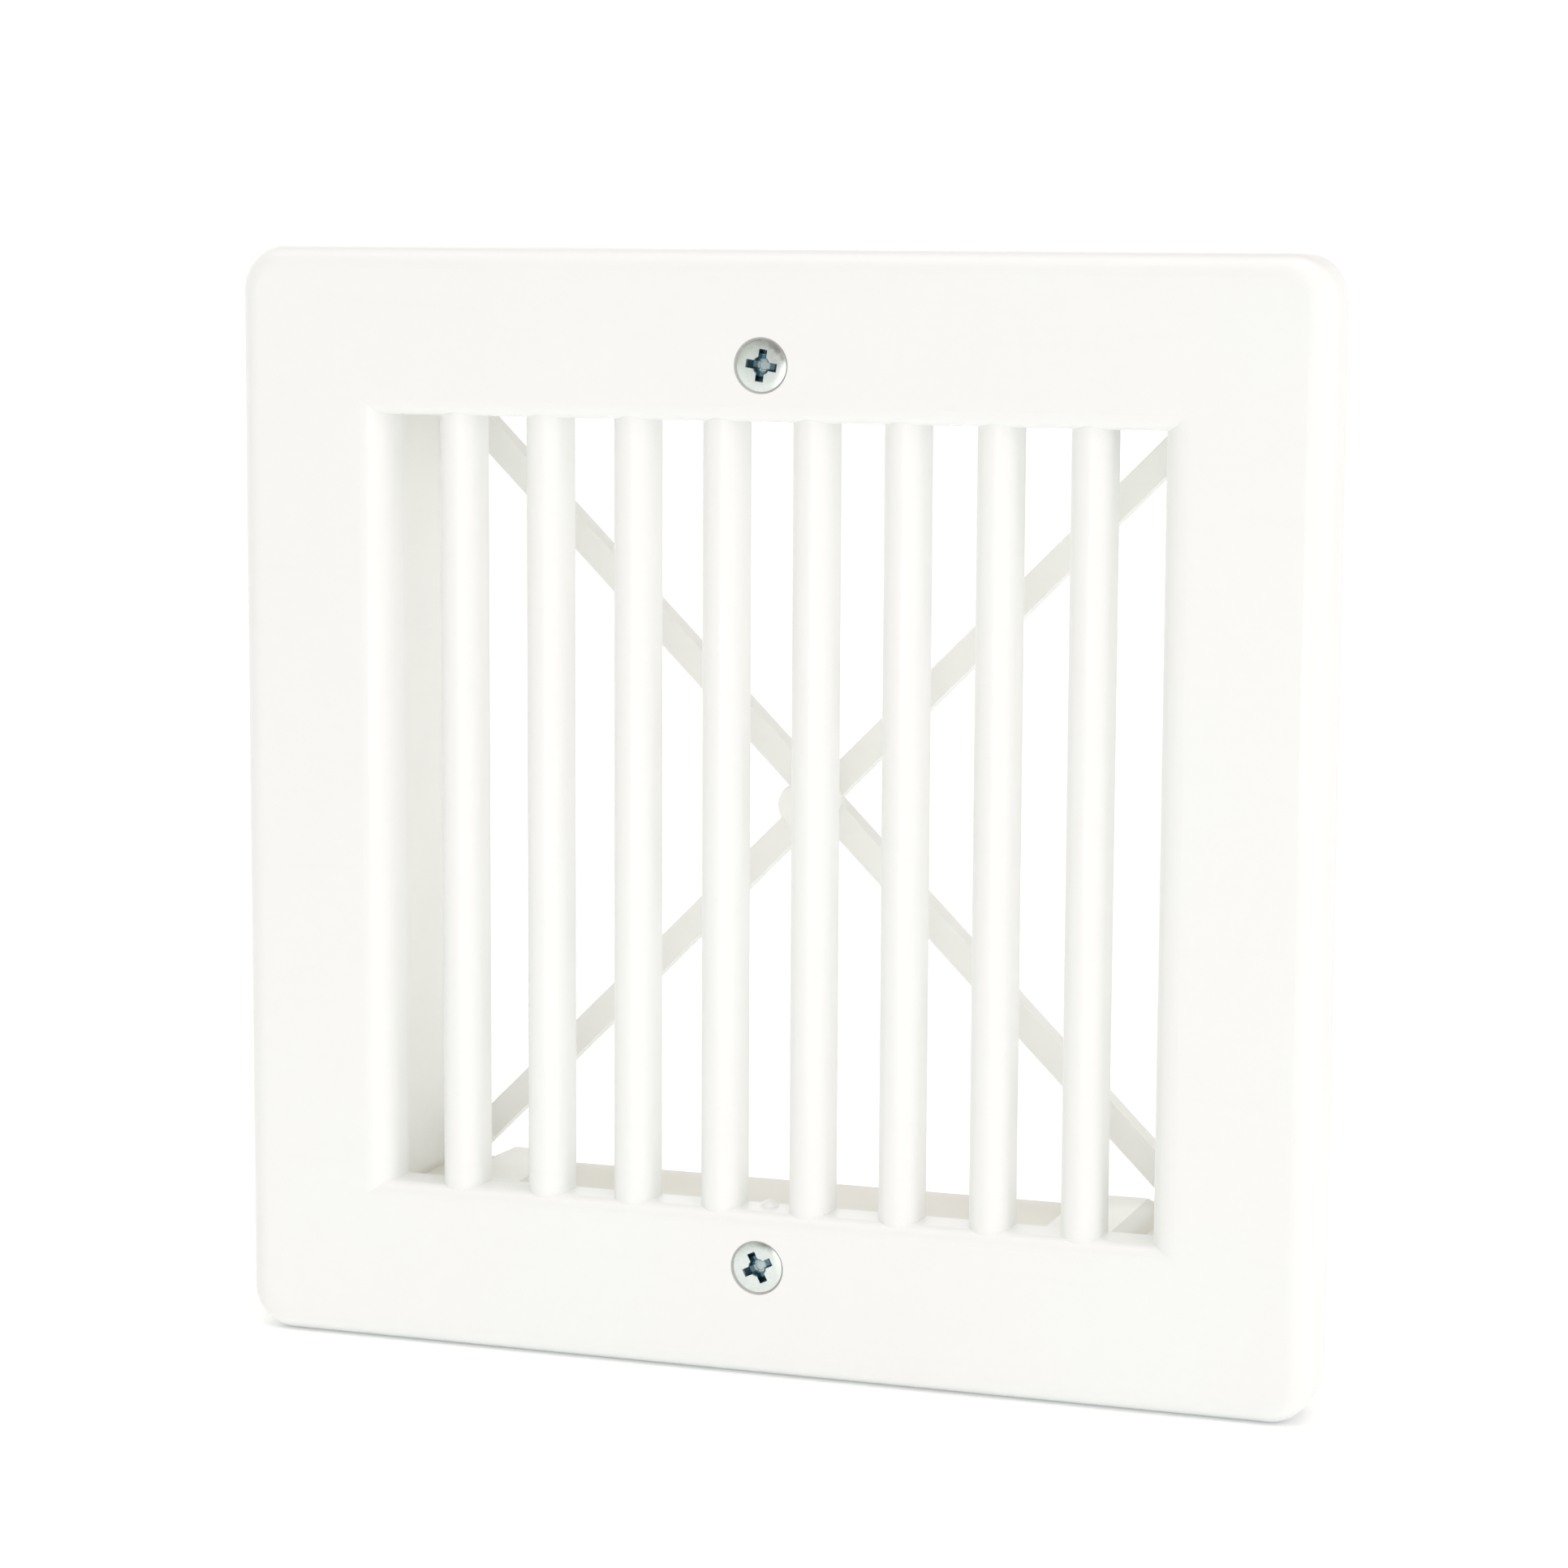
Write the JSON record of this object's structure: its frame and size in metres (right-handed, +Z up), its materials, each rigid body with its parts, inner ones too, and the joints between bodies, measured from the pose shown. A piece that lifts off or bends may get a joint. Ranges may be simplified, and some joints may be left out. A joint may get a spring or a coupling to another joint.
{
  "type": "exhaust grille",
  "caption": "Square white plastic exhaust grille with upright round-fronted bars, held by countersunk screws to a rear collar frame with a cross brace.",
  "frame": {"origin": "middle of the wall plane, where the back of the rim meets the wall", "axes": "+Y into the wall and along the duct, +Z up, +X to the right as seen from the room"},
  "size_m": [0.15, 0.0284, 0.15],
  "materials": {
    "white_plastic": "satin moulded",
    "frame_plastic": "as moulded",
    "zinc_steel": "bright zinc plated"
  },
  "bodies": {
    "root": {"grille_front": "white_plastic", "rear_frame": "frame_plastic", "face_screws": "zinc_steel"}
  },
  "joints": []
}
